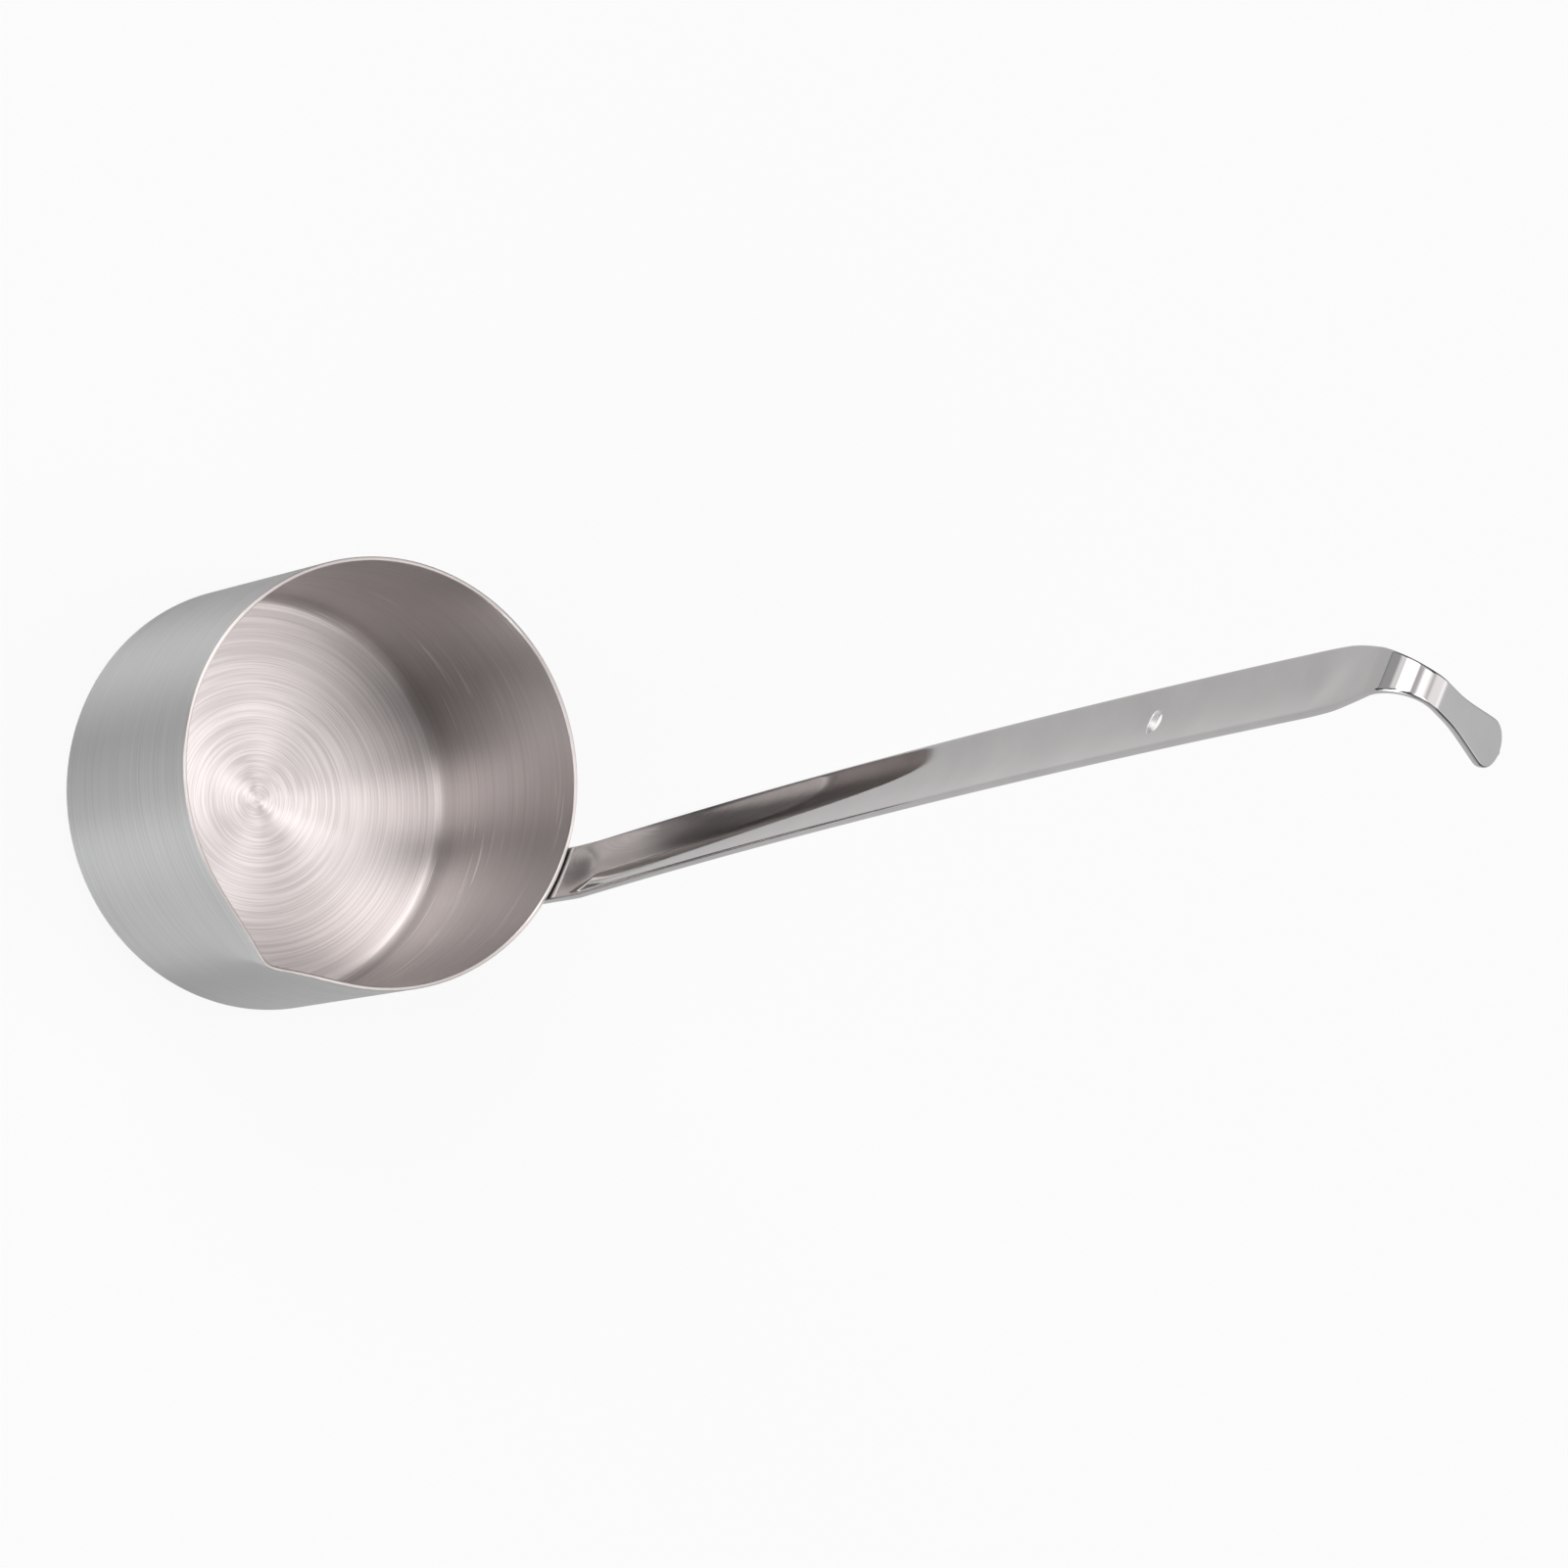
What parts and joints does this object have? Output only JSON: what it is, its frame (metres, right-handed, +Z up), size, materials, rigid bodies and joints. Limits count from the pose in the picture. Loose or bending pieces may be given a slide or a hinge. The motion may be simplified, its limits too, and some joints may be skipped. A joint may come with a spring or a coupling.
{
  "type": "wine ladle",
  "caption": "Deep round steel cup with a pinched pouring lip, spot-welded to a tall upright strip handle that narrows into a hanging hook.",
  "frame": {"origin": "middle of the cup's flat underside, on the cup's axis", "axes": "+Z up along the cup's axis, +X from the axis to the handle, the pouring lip near -Y"},
  "size_m": [0.0921, 0.0828, 0.368],
  "materials": {
    "satin_steel": "stainless sheet, satin, brushed round the axis",
    "polished_steel": "stainless strip, mirror polished",
    "weld_steel": "fused stainless steel, dull"
  },
  "bodies": {
    "root": {"cup": "satin_steel", "handle": "polished_steel", "weld_nugget_1": "weld_steel", "weld_nugget_2": "weld_steel", "weld_nugget_3": "weld_steel"}
  },
  "joints": []
}
